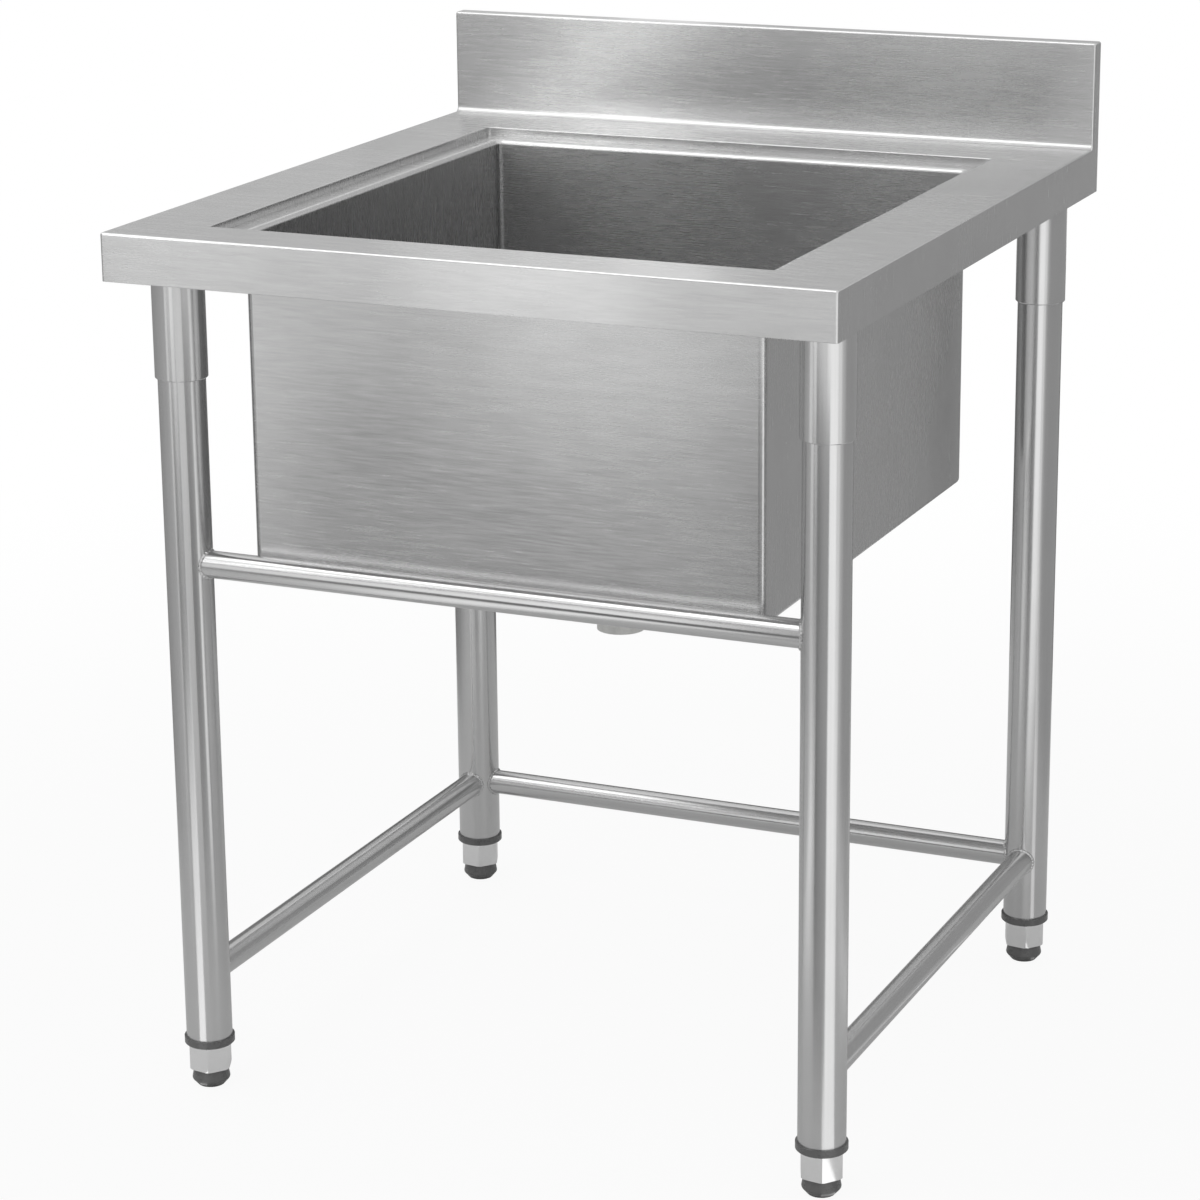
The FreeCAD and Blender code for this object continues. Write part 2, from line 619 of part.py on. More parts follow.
def make_strainer():
    """Flanged cup through the bowl's floor, clamped from below by its locknut."""
    cup_inner = of("@cup_outer - @strainer_metal")
    ledge_inner = of("@cup_outer - @strainer_metal - @ledge_wide")
    body = new_body("strainer_body")
    turn(body, (
        (cup_inner, FLANGE_TOP),
        (of("@strainer_flange"), FLANGE_TOP),
        (of("@strainer_flange"), FLANGE_UNDER),
        (of("@cup_outer"), FLANGE_UNDER),
        (of("@cup_outer"), CUP_BOTTOM),
        (of("@spigot_outer"), CUP_BOTTOM),
        (of("@spigot_outer"), SPIGOT_BOTTOM),
        (of("@outlet_inner"), SPIGOT_BOTTOM),
        (of("@outlet_inner"), f"({CUP_BOTTOM} + Sizes.strainer_metal)"),
        (ledge_inner, f"({CUP_BOTTOM} + Sizes.strainer_metal)"),
        (ledge_inner, BASKET_LEDGE),
        (cup_inner, BASKET_LEDGE),
    ))
    place(body, y=DRAIN_Y)

    hole = of("@cup_outer + @hole_gap")
    make_ring("flange_seal", hole, of("@cup_outer + @seal_wide"), BOWL_FLOOR, FLANGE_UNDER)
    gasket_low = f"({BOWL_BOTTOM} - Sizes.gasket_thick)"
    ring_low = f"({gasket_low} - Sizes.ring_thick)"
    nut_low = f"({ring_low} - Sizes.locknut_tall)"
    outer = of("@cup_outer + @gasket_wide")
    make_ring("bowl_gasket", hole, outer, gasket_low, BOWL_BOTTOM)
    make_ring("friction_ring", hole, outer, ring_low, gasket_low)
    nut_outer = of("@cup_outer + @locknut_wide")
    locknut = make_ring("strainer_locknut", of("@cup_outer + @run"), nut_outer, nut_low, ring_low)
    gap = new_sketch(locknut, "XY_Plane", nut_low)
    half_lug = of("@lug_wide / 2")
    add_rectangle(gap, f"({nut_outer} - Sizes.lug_cut)", of("2 * @cup_outer"),
                  f"-{half_lug}", half_lug)
    repeat_around(locknut, pocket(locknut, gap, of("@locknut_tall"), upward=True), LUG_COUNT)


def make_tailpiece():
    """Outlet tube held to the cup's spigot by a washer and a coupling nut."""
    collar_top = f"({SPIGOT_BOTTOM} - Sizes.washer_thick)"
    collar_low = f"({collar_top} - Sizes.tail_collar)"
    tail_low = f"({collar_top} - Sizes.tail_long)"
    nut_low = f"({collar_low} - Sizes.nut_lip)"
    make_ring("tailpiece_washer", of("@outlet_inner"), of("@spigot_outer"),
              collar_top, SPIGOT_BOTTOM)
    tail = new_body("tailpiece")
    turn(tail, (
        (of("@outlet_inner"), tail_low),
        (of("@tail_outer"), tail_low),
        (of("@tail_outer"), nut_low),
        (of("@tail_outer - @tail_neck"), nut_low),
        (of("@tail_outer - @tail_neck"), collar_low),
        (of("@spigot_outer"), collar_low),
        (of("@spigot_outer"), collar_top),
        (of("@outlet_inner"), collar_top),
    ))
    place(tail, y=DRAIN_Y)
    nut = new_body("coupling_nut")
    thread = of("@spigot_outer + @run")
    turn(nut, (
        (of("@tail_outer + @hole_gap"), nut_low),
        (of("@nut_outer"), nut_low),
        (of("@nut_outer"), f"({nut_low} + Sizes.nut_tall)"),
        (thread, f"({nut_low} + Sizes.nut_tall)"),
        (thread, collar_low),
        (of("@tail_outer + @hole_gap"), collar_low),
    ))
    flats = of(f"@nut_outer * cos({HALF_TURN} / {NUT_SIDES})")
    cut_flats(nut, NUT_SIDES, flats, of("2 * @nut_outer"), nut_low, of("@nut_tall"))
    place(nut, y=DRAIN_Y)


def make_basket():
    """Lift-out basket that hangs in the cup by its rim, with its knob and stopper."""
    rim_low = f"({BASKET_LEDGE} + Sizes.face_gap)"
    rim_top = f"({rim_low} + Sizes.basket_metal)"
    floor_low = f"({rim_low} - Sizes.basket_deep)"
    floor_top = f"({floor_low} + Sizes.basket_metal)"
    rim = of("@cup_outer - @strainer_metal - @basket_gap")
    top_outer = of("@cup_outer - @strainer_metal - @ledge_wide - @basket_gap")
    low_outer = f"({top_outer} - Sizes.basket_taper)"
    post = of("@post_across / 2")
    basket = new_body("strainer_basket")
    turn(basket, (
        (post, floor_low),
        (low_outer, floor_low),
        (top_outer, rim_low),
        (rim, rim_low),
        (rim, rim_top),
        (f"({top_outer} - Sizes.basket_metal)", rim_top),
        (f"({low_outer} - Sizes.basket_metal)", floor_top),
        (post, floor_top),
    ))
    for ring in range(1, RING_COUNT + 1):
        hole = new_sketch(basket, "XY_Plane", floor_top)
        add_circle(hole, of(f"{ring} * @ring_step"), "0", of("@basket_hole / 2"))
        repeat_around(basket, pocket(basket, hole, of("@basket_metal")), ring * HOLES_PER_RING)
    place(basket, y=DRAIN_Y)

    knob_top = BOWL_FLOOR
    knob_low = f"({knob_top} - Sizes.knob_tall)"
    stopper_top = floor_low
    stopper_low = f"({stopper_top} - Sizes.stopper_thick)"
    knob = new_body("basket_knob")
    turn(knob, (
        ("0", stopper_low),
        (post, stopper_low),
        (post, knob_low),
        (of("@knob_across / 2"), knob_low),
        (of("@knob_across / 2"), knob_top),
        ("0", knob_top),
    ))
    top = number_of(knob_top)
    round_edges(knob, of("@knob_fillet"), lambda box: is_level_at(box, top))
    place(knob, y=DRAIN_Y)
    make_ring("basket_stopper", post, of("@stopper_across / 2"), stopper_low, stopper_top)


make_worktop()
make_splash_back()
make_bowl()
make_channels()
for corner, x, y in CORNERS:
    make_socket(corner, x, y)
    make_leg(corner, x, y)
    make_foot(corner, x, y)
make_set_screws()
make_rails()
make_strainer()
make_tailpiece()
make_basket()
doc.recompute()

for item in doc.Objects:
    if "Invalid" in item.State or "Error" in item.State:
        raise RuntimeError(f"{item.Label} failed: {item.State}")
for node in NODES:
    if node.Shape.isNull() or not node.Shape.isValid():
        raise RuntimeError(f"{node.Label} has no valid shape")

os.makedirs("parts", exist_ok=True)
for node in NODES:
    node.Shape.exportStep(f"parts/{node.Label}.step")
    print(f"{node.Label}: {len(node.Shape.Solids)} solid, {node.Shape.Volume:.0f} mm3")
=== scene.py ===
import json
import math

import bpy
from mathutils import Matrix, Vector


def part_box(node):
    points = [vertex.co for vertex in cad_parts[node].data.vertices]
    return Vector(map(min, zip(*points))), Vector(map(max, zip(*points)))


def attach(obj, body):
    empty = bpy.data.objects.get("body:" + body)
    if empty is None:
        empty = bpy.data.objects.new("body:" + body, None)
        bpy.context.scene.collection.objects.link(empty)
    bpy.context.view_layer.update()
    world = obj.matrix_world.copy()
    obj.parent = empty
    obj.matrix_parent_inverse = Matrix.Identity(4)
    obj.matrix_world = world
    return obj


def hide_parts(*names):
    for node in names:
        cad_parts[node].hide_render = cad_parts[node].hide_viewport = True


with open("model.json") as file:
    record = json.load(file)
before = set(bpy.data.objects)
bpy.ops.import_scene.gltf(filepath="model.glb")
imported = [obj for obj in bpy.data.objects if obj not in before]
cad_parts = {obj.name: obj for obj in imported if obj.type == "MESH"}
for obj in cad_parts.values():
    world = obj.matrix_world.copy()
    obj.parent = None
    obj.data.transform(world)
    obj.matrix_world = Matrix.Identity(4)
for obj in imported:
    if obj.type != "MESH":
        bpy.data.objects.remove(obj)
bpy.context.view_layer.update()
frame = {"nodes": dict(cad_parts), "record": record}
scene = bpy.context.scene
scene.view_settings.view_transform = "Standard"

CORNERS = ("front_left", "front_right", "rear_left", "rear_right")
SINK = "sink"
UP = Vector((0.0, 0.0, 1.0))


# ---------------------------------------------------------------- shader helpers

def new_tree(material):
    """Empties a material's node tree and gives it back."""
    material.use_nodes = True
    material.node_tree.nodes.clear()
    return material.node_tree


def put(tree, kind, values=None, **settings):
    """Adds a node. Each value is a plain number or vector, or a socket to link from."""
    node = tree.nodes.new(kind)
    for name, setting in settings.items():
        setattr(node, name, setting)
    for key, value in (values or {}).items():
        socket = node.inputs[key]
        if isinstance(value, bpy.types.NodeSocket):
            tree.links.new(value, socket)
        else:
            socket.default_value = value
    return node


def maths(tree, operation, first, second=0.0, third=0.0):
    """One Math node's result."""
    return put(tree, "ShaderNodeMath", {0: first, 1: second, 2: third}, operation=operation).outputs[0]


def vector_maths(tree, operation, first, second=(0.0, 0.0, 0.0)):
    """One Vector Math node's vector."""
    return put(tree, "ShaderNodeVectorMath", {0: first, 1: second}, operation=operation).outputs[0]


def remap(tree, value, low, high):
    """Takes a value from 0..1 to low..high."""
    return maths(tree, "MULTIPLY_ADD", value, high - low, low)


def noise(tree, vector, scale, detail=2.0, roughness=0.5):
    """A soft procedural noise, about 0.5 on average."""
    node = put(tree, "ShaderNodeTexNoise", {"Vector": vector, "Scale": scale, "Detail": detail,
                                            "Roughness": roughness})
    return node.outputs["Fac"]


def mix_vectors(tree, factor, first, second):
    """Mixes two vectors. A Mix node takes vectors in its sockets 4 and 5."""
    return put(tree, "ShaderNodeMix", {0: factor, 4: first, 5: second}, data_type="VECTOR").outputs[1]


def grey(tree, value):
    """Makes a grey colour out of one number."""
    return put(tree, "ShaderNodeCombineColor", {0: value, 1: value, 2: value}).outputs[0]


def finish_material(material, tree, shader):
    """Links the surface and gives the material back."""
    output = put(tree, "ShaderNodeOutputMaterial")
    tree.links.new(shader, output.inputs["Surface"])
    return material


def principled(tree, values):
    """A Principled surface with these values."""
    return put(tree, "ShaderNodeBsdfPrincipled", values).outputs[0]


# ---------------------------------------------------------------- materials

# Cells of the brush grain per metre. A sheet's lines are short, and a tube's run far along it. Smears are
# the longer pale and dark zones that brushing leaves on a sheet.
SHEET_ALONG, SHEET_ACROSS = 30.0, 650.0
SMEAR_ALONG, SMEAR_ACROSS = 22.0, 170.0
TUBE_ALONG, TUBE_ACROSS = 3.0, 420.0
CLOUD_SCALE, WIDE_SCALE = 22.0, 5.0
# The fine lines among the broad ones: how much closer they lie, and their weight
FINE_SCALE, FINE_SHARE = 2.7, 0.4
# How far lines, smears and clouds change the lightness, and grain and wide clouds the roughness
LINES_DARKER, LINES_LIGHTER = 0.26, 0.12
SMEAR_DEPTH, CLOUD_DEPTH = 0.05, 0.025
GRAIN_ROUGHNESS, WIDE_ROUGHNESS = 0.06, 0.04
SHEET_CONTRAST, TUBE_CONTRAST = 0.42, 0.22
# How much of its grain a face that looks to the side keeps
END_GRAIN = 0.35
# A face looks along an axis where its normal's part along that axis is greater than this
FACING = 0.7
# How far gloss spreads across the grain, how round a fold of the sheet looks, and the height of the grain
SHEET_SPREAD, TUBE_SPREAD = 0.75, 0.80
FOLD_RADIUS = 0.0007
GRAIN_BUMP, GRAIN_HEIGHT = 0.10, 0.0001


def steel(tree, streaks, place, tangent, shade, roughness, spread, contrast,
          edge=0.0, smears=None, share=1.0):
    """The surface that all brushed pieces share: streaks and soft clouds in colour, gloss and height."""
    grain = noise(tree, streaks, 1.0, detail=4.0, roughness=0.7)
    fine = noise(tree, streaks, FINE_SCALE, detail=2.0, roughness=0.6)
    cloud = noise(tree, place, CLOUD_SCALE, detail=2.0, roughness=0.5)
    wide = noise(tree, place, WIDE_SCALE, detail=1.0, roughness=0.5)
    lines = maths(tree, "ADD", grain, maths(tree, "MULTIPLY", fine, FINE_SHARE))
    change = remap(tree, lines, -LINES_DARKER * contrast, LINES_LIGHTER * contrast)
    if smears is not None:
        zones = noise(tree, smears, 1.0, detail=2.0, roughness=0.5)
        change = maths(tree, "ADD", change, remap(tree, zones, -SMEAR_DEPTH, SMEAR_DEPTH))
    lightness = maths(tree, "ADD", maths(tree, "MULTIPLY", change, share),
                      remap(tree, cloud, shade - CLOUD_DEPTH, shade + CLOUD_DEPTH))
    rough = maths(tree, "ADD",
                  remap(tree, grain, roughness - GRAIN_ROUGHNESS, roughness + GRAIN_ROUGHNESS),
                  remap(tree, wide, -WIDE_ROUGHNESS, WIDE_ROUGHNESS))
    height = maths(tree, "MULTIPLY", lines, share)
    bump = put(tree, "ShaderNodeBump",
               {"Strength": GRAIN_BUMP, "Distance": GRAIN_HEIGHT, "Height": height})
    if edge:
        rounded = put(tree, "ShaderNodeBevel", {"Radius": edge}, samples=4)
        tree.links.new(rounded.outputs[0], bump.inputs["Normal"])
    return principled(tree, {"Base Color": grey(tree, lightness), "Metallic": 1.0, "Roughness": rough,
                             "Anisotropic": spread, "Tangent": tangent, "Normal": bump.outputs[0]})


def brushed_sheet(name, shade, roughness):
    """Stainless sheet. Its grain runs along X, and fainter up the faces that look to the sides."""
    material = bpy.data.materials.new(name)
    tree = new_tree(material)
    place = put(tree, "ShaderNodeTexCoord").outputs["Object"]
    normal = put(tree, "ShaderNodeNewGeometry").outputs["Normal"]
    parts = put(tree, "ShaderNodeSeparateXYZ", {0: normal})
    on_end = maths(tree, "GREATER_THAN", maths(tree, "ABSOLUTE", parts.outputs[0]), FACING)
    on_front = maths(tree, "GREATER_THAN", maths(tree, "ABSOLUTE", parts.outputs[1]), FACING)
    vectors = []
    for along, across in ((SHEET_ALONG, SHEET_ACROSS), (SMEAR_ALONG, SMEAR_ACROSS)):
        along_x = vector_maths(tree, "MULTIPLY", place, (along, across, across))
        along_z = vector_maths(tree, "MULTIPLY", place, (across, across, along))
        vectors.append(mix_vectors(tree, on_end, along_x, along_z))
    streaks, smears = vectors
    tangent = mix_vectors(tree, on_front, (0.0, 1.0, 0.0), (0.0, 0.0, 1.0))
    share = remap(tree, on_end, 1.0, END_GRAIN)
    shader = steel(tree, streaks, place, tangent, shade, roughness, SHEET_SPREAD, SHEET_CONTRAST,
                   FOLD_RADIUS, smears, share)
    return finish_material(material, tree, shader)


def brushed_tube(name, shade, roughness, axis):
    """Polished stainless tube, with faint lines along its own axis."""
    material = bpy.data.materials.new(name)
    tree = new_tree(material)
    place = put(tree, "ShaderNodeTexCoord").outputs["Object"]
    stretch = tuple(TUBE_ALONG if letter == axis else TUBE_ACROSS for letter in "xyz")
    streaks = vector_maths(tree, "MULTIPLY", place, stretch)
    along = tuple(1.0 if letter == axis else 0.0 for letter in "xyz")
    tangent = put(tree, "ShaderNodeCombineXYZ", dict(enumerate(along))).outputs[0]
    shader = steel(tree, streaks, place, tangent, shade, roughness, TUBE_SPREAD, TUBE_CONTRAST)
    return finish_material(material, tree, shader)


METAL_CLOUD_SCALE = 60.0
METAL_ROUGHNESS_SPAN = (0.7, 1.3)
METAL_BUMP, METAL_HEIGHT = 0.08, 0.0001


def plain_metal(name, shade, roughness, grain_scale, wear=0.06):
    """Metal without a brush direction: zinc, chrome or pressed steel."""
    material = bpy.data.materials.new(name)
    tree = new_tree(material)
    place = put(tree, "ShaderNodeTexCoord").outputs["Object"]
    spots = noise(tree, place, grain_scale, detail=3.0, roughness=0.6)
    cloud = noise(tree, place, METAL_CLOUD_SCALE, detail=2.0, roughness=0.5)
    lightness = maths(tree, "ADD", remap(tree, spots, shade - wear, shade + wear),
                      remap(tree, cloud, -wear, wear))
    least, most = METAL_ROUGHNESS_SPAN
    rough = remap(tree, spots, roughness * least, roughness * most)
    bump = put(tree, "ShaderNodeBump",
               {"Strength": METAL_BUMP, "Distance": METAL_HEIGHT, "Height": spots})
    shader = principled(tree, {"Base Color": grey(tree, lightness), "Metallic": 1.0, "Roughness": rough,
                               "Normal": bump.outputs[0]})
    return finish_material(material, tree, shader)


SCUFF_SCALE = 90.0
SCUFF_DARKER, SCUFF_LIGHTER = 0.75, 1.3
SCUFF_ROUGHNESS = 0.1
SKIN_BUMP, SKIN_HEIGHT = 0.1, 0.0002


def moulded(name, colour, roughness, bump_scale, specular=0.5):
    """Moulded plastic or rubber with a fine skin and light scuffs."""
    material = bpy.data.materials.new(name)
    tree = new_tree(material)
    place = put(tree, "ShaderNodeTexCoord").outputs["Object"]
    skin = noise(tree, place, bump_scale, detail=3.0, roughness=0.6)
    scuff = noise(tree, place, SCUFF_SCALE, detail=4.0, roughness=0.7)
    darker = (*[channel * SCUFF_DARKER for channel in colour], 1.0)
    lighter = (*[min(1.0, channel * SCUFF_LIGHTER) for channel in colour], 1.0)
    # A Mix node takes colours in its sockets 6 and 7
    tint = put(tree, "ShaderNodeMix", {0: scuff, 6: darker, 7: lighter}, data_type="RGBA")
    rough = remap(tree, scuff, roughness - SCUFF_ROUGHNESS, roughness + SCUFF_ROUGHNESS)
    bump = put(tree, "ShaderNodeBump", {"Strength": SKIN_BUMP, "Distance": SKIN_HEIGHT, "Height": skin})
    shader = principled(tree, {"Base Color": tint.outputs[2], "Roughness": rough,
                               "Specular IOR Level": specular, "Normal": bump.outputs[0]})
    return finish_material(material, tree, shader)


SHEET = brushed_sheet("brushed_sheet", 0.62, 0.26)
TUBES = {axis: brushed_tube("brushed_tube_" + axis, 0.64, 0.23, axis) for axis in "xyz"}
WELD = plain_metal("weld_bead", 0.60, 0.26, 700.0, wear=0.05)
GALVANISED = plain_metal("galvanised_steel", 0.50, 0.42, 900.0)
CHROME = plain_metal("polished_metal", 0.92, 0.12, 400.0, wear=0.02)
ZINC = plain_metal("zinc_fastener", 0.45, 0.38, 700.0)
STRAINER = plain_metal("strainer_steel", 0.66, 0.20, 600.0, wear=0.03)
DARK_PLASTIC = moulded("dark_plastic", (0.13, 0.13, 0.13), 0.28, 2500.0)
WASTE_PLASTIC = moulded("waste_plastic", (0.72, 0.72, 0.70), 0.45, 1800.0)
RUBBER = moulded("black_rubber", (0.03, 0.03, 0.03), 0.7, 1500.0, specular=0.3)

SLOTS = {"brushed_sheet": SHEET, "galvanised_steel": GALVANISED, "polished_metal": CHROME,
         "zinc_fastener": ZINC, "strainer_steel": STRAINER, "dark_plastic": DARK_PLASTIC,
         "waste_plastic": WASTE_PLASTIC, "black_rubber": RUBBER, "brushed_tube": TUBES["z"]}
RAIL_AXES = {"front_rail": "x", "rear_rail": "x", "left_rail": "y", "right_rail": "y"}


def dress_nodes():
    """Gives every CAD node the material of its slot, and each rail the one that runs along its axis."""
    slots = {part["node"]: part["material_slot"] for part in frame["record"]["subparts"]}
    for name, item in frame["nodes"].items():
        material = TUBES[RAIL_AXES[name]] if name in RAIL_AXES else SLOTS[slots[name]]
        item.data.materials.clear()
        item.data.materials.append(material)


# ---------------------------------------------------------------- pieces

SHARP_ANGLE = math.radians(35)


def ringed_mesh(name, rings, material, looped=False):
    """Skins rings of points. The last ring meets the first where looped, and else both ends are closed."""
    count = len(rings[0])
    points = [point for ring in rings for point in ring]
    faces = []
    for row in range(len(rings) if looped else len(rings) - 1):
        below, above = row * count, (row + 1) % len(rings) * count
        for k in range(count):
            after = (k + 1) % count
            faces.append((below + k, below + after, above + after, above + k))
    if not looped:
        faces.append(tuple(reversed(range(count))))
        faces.append(tuple(range(len(points) - count, len(points))))
    mesh = bpy.data.meshes.new(name)
    mesh.from_pydata(points, [], faces)
    mesh.materials.append(material)
    mesh.shade_smooth()
    mesh.set_sharp_from_angle(angle=SHARP_ANGLE)
    item = bpy.data.objects.new(name, mesh)
    scene.collection.objects.link(item)
    return item


BEAD_RADIUS = 0.0015
BEAD_STEPS = 120
BEAD_SIDES = 8
BEAD_RIPPLES = 26
BEAD_RIPPLE = 0.13


def add_bead(name, leg, direction, height, leg_radius, rail_radius):
    """The weld round the end of a rail, which follows the saddle where the rail meets its leg."""
    side = UP.cross(direction)
    rings = []
    for step in range(BEAD_STEPS):
        angle = math.tau * step / BEAD_STEPS
        offset = rail_radius * math.cos(angle)
        reach = math.sqrt(leg_radius ** 2 - offset ** 2)
        lift = height + rail_radius * math.sin(angle)
        centre = Vector((leg[0], leg[1], lift)) + direction * reach + side * offset
        outward = side * math.cos(angle) + UP * math.sin(angle)
        width = BEAD_RADIUS * (1.0 + BEAD_RIPPLE * math.sin(BEAD_RIPPLES * angle))
        turns = [math.tau * k / BEAD_SIDES for k in range(BEAD_SIDES)]
        rings.append([centre + outward * width * math.cos(t) + direction * width * math.sin(t)
                      for t in turns])
    bead = ringed_mesh(name, rings, WELD, looped=True)
    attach(bead, SINK)


RAIL_ENDS = (("front_rail", "front_left", "front_right"), ("rear_rail", "rear_left", "rear_right"),
             ("left_rail", "front_left", "rear_left"), ("right_rail", "front_right", "rear_right"))


def add_welds():
    """A bead at both ends of each rail, from the places of the legs and rails."""
    for rail, *ends in RAIL_ENDS:
        low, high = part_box(rail)
        height = (low.z + high.z) / 2
        rail_radius = (high.z - low.z) / 2
        places = []
        for corner in ends:
            leg_low, leg_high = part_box("leg_" + corner)
            places.append((leg_low + leg_high) / 2)
        leg_radius = (leg_high.x - leg_low.x) / 2
        direction = Vector((places[1].x - places[0].x, places[1].y - places[0].y, 0.0)).normalized()
        add_bead("weld_" + rail + "_a", places[0], direction, height, leg_radius, rail_radius)
        add_bead("weld_" + rail + "_b", places[1], -direction, height, leg_radius, rail_radius)


# The foot's screw, above the underside of its pivot pin.
PIN_RADIUS, PIN_LONG = 0.005, 0.0072
HEX_FLATS, HEX_TALL, HEX_CHAMFER = 0.032, 0.0218, 0.001
THREAD_RADIUS, THREAD_DEPTH, THREAD_PITCH = 0.00795, 0.0011, 0.002
THREAD_SLOPE, THREAD_FLAT = 1.4, 0.2
THREAD_ROWS = 6
END_CHAMFER = 0.0015
CHAMFER_SHARES = (0.0, 0.25, 0.5, 0.75, 1.0)
SCREW_STEPS = 72
HEX_SIDES = 6


def thread_radius(height, turn):
    """A right-handed thread with narrow flats at its crest and root. turn counts whole turns."""
    phase = (height / THREAD_PITCH - turn) % 1.0
    wave = THREAD_SLOPE * (1.0 - abs(2.0 * phase - 1.0)) - THREAD_FLAT
    return THREAD_RADIUS - THREAD_DEPTH * (1.0 - min(1.0, max(0.0, wave)))


def add_screw(corner):
    """A foot's hexagon with chamfered corners, the pin under it and the threaded stem above it."""
    node = "foot_stem_" + corner
    low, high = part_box(node)
    middle = (low + high) / 2
    points = [vertex.co for vertex in frame["nodes"][node].data.vertices]
    tip = max(points, key=lambda point: (point.x - middle.x) ** 2 + (point.y - middle.y) ** 2)
    first = math.atan2(tip.y - middle.y, tip.x - middle.x)
    corner_radius = HEX_FLATS / 2 / math.cos(math.pi / HEX_SIDES)
    hex_low = low.z + PIN_LONG
    hex_high = hex_low + HEX_TALL
    rings = []

    def ring(height, radius_at):
        """One ring of points, whose radius depends on the angle from the hexagon's first corner."""
        angles = [math.tau * k / SCREW_STEPS for k in range(SCREW_STEPS)]
        rings.append([(middle.x + radius_at(a) * math.cos(first + a),
                       middle.y + radius_at(a) * math.sin(first + a), height) for a in angles])

    def hexagon(angle, limit):
        """The hexagon's radius at an angle from a corner, cut by the chamfer's cone."""
        from_flat = angle % (math.tau / HEX_SIDES) - math.pi / HEX_SIDES
        return min(HEX_FLATS / 2 / math.cos(from_flat), limit)

    ring(low.z, lambda a: PIN_RADIUS)
    ring(hex_low, lambda a: PIN_RADIUS)
    for share in CHAMFER_SHARES:
        limit = corner_radius - HEX_CHAMFER * (1.0 - share)
        ring(hex_low + HEX_CHAMFER * share, lambda a: hexagon(a, limit))
    for share in reversed(CHAMFER_SHARES):
        limit = corner_radius - HEX_CHAMFER * (1.0 - share)
        ring(hex_high - HEX_CHAMFER * share, lambda a: hexagon(a, limit))
    ring(hex_high, lambda a: THREAD_RADIUS - THREAD_DEPTH)
    rows = round((high.z - hex_high) / THREAD_PITCH * THREAD_ROWS)
    for row in range(1, rows + 1):
        height = hex_high + (high.z - hex_high) * row / rows
        limit = THREAD_RADIUS - max(0.0, END_CHAMFER - (high.z - height))
        ring(height, lambda a: min(limit, thread_radius(height, (first + a) / math.tau)))
    screw = ringed_mesh("foot_screw_" + corner, rings, CHROME)
    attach(screw, "stem_" + corner)
    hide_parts(node)


# ---------------------------------------------------------------- camera

# The photo's viewpoint: place in metres, then angles, then lens and sensor in millimetres
CAMERA_PLACE = (1.16968, -2.69954, 1.25509)
CAMERA_YAW = math.radians(23.90)
CAMERA_PITCH = math.radians(-16.613)
CAMERA_ROLL = math.radians(-0.55)
CAMERA_LENS = 110.29
SENSOR = 36.0


def add_camera():
    """Stands where the photograph was taken from."""
    forward = Vector((-math.sin(CAMERA_YAW) * math.cos(CAMERA_PITCH),
                      math.cos(CAMERA_YAW) * math.cos(CAMERA_PITCH), math.sin(CAMERA_PITCH)))
    level = Vector((math.cos(CAMERA_YAW), math.sin(CAMERA_YAW), 0.0))
    above = level.cross(forward)
    right = level * math.cos(CAMERA_ROLL) + above * math.sin(CAMERA_ROLL)
    up = above * math.cos(CAMERA_ROLL) - level * math.sin(CAMERA_ROLL)
    camera = bpy.data.objects.new("camera", bpy.data.cameras.new("camera"))
    camera.data.lens = CAMERA_LENS
    camera.data.sensor_width = SENSOR
    turn = Matrix((right, up, -forward)).transposed().to_4x4()
    camera.matrix_world = Matrix.Translation(CAMERA_PLACE) @ turn
    scene.collection.objects.link(camera)
    scene.camera = camera


# ---------------------------------------------------------------- studio

WHITE = (1.0, 1.0, 1.0, 1.0)
ROOM_LIGHT = 0.70
FLOOR_RADIUS = 3.0
FLOOR_STEPS = 96
FLOOR_COLOUR = (0.66, 0.66, 0.66, 1.0)
# How white the floor shows to the camera and in gloss: nearer the sink, further out, and the distances
# between which the one turns into the other
FLOOR_SHOWN = (0.93, 1.0, 0.6, 2.0)
FLOOR_IN_GLOSS_NEAR = (0.10, 0.05, 0.9, 1.35)
FLOOR_IN_GLOSS_FAR = (0.05, 0.85, 1.7, 2.9)


def stage_mesh(name, points, faces, material):
    """A piece of the studio, which isn't part of the sink."""
    mesh = bpy.data.meshes.new(name)
    mesh.from_pydata(points, [], faces)
    mesh.materials.append(material)
    item = bpy.data.objects.new(name, mesh)
    scene.collection.objects.link(item)
    return item


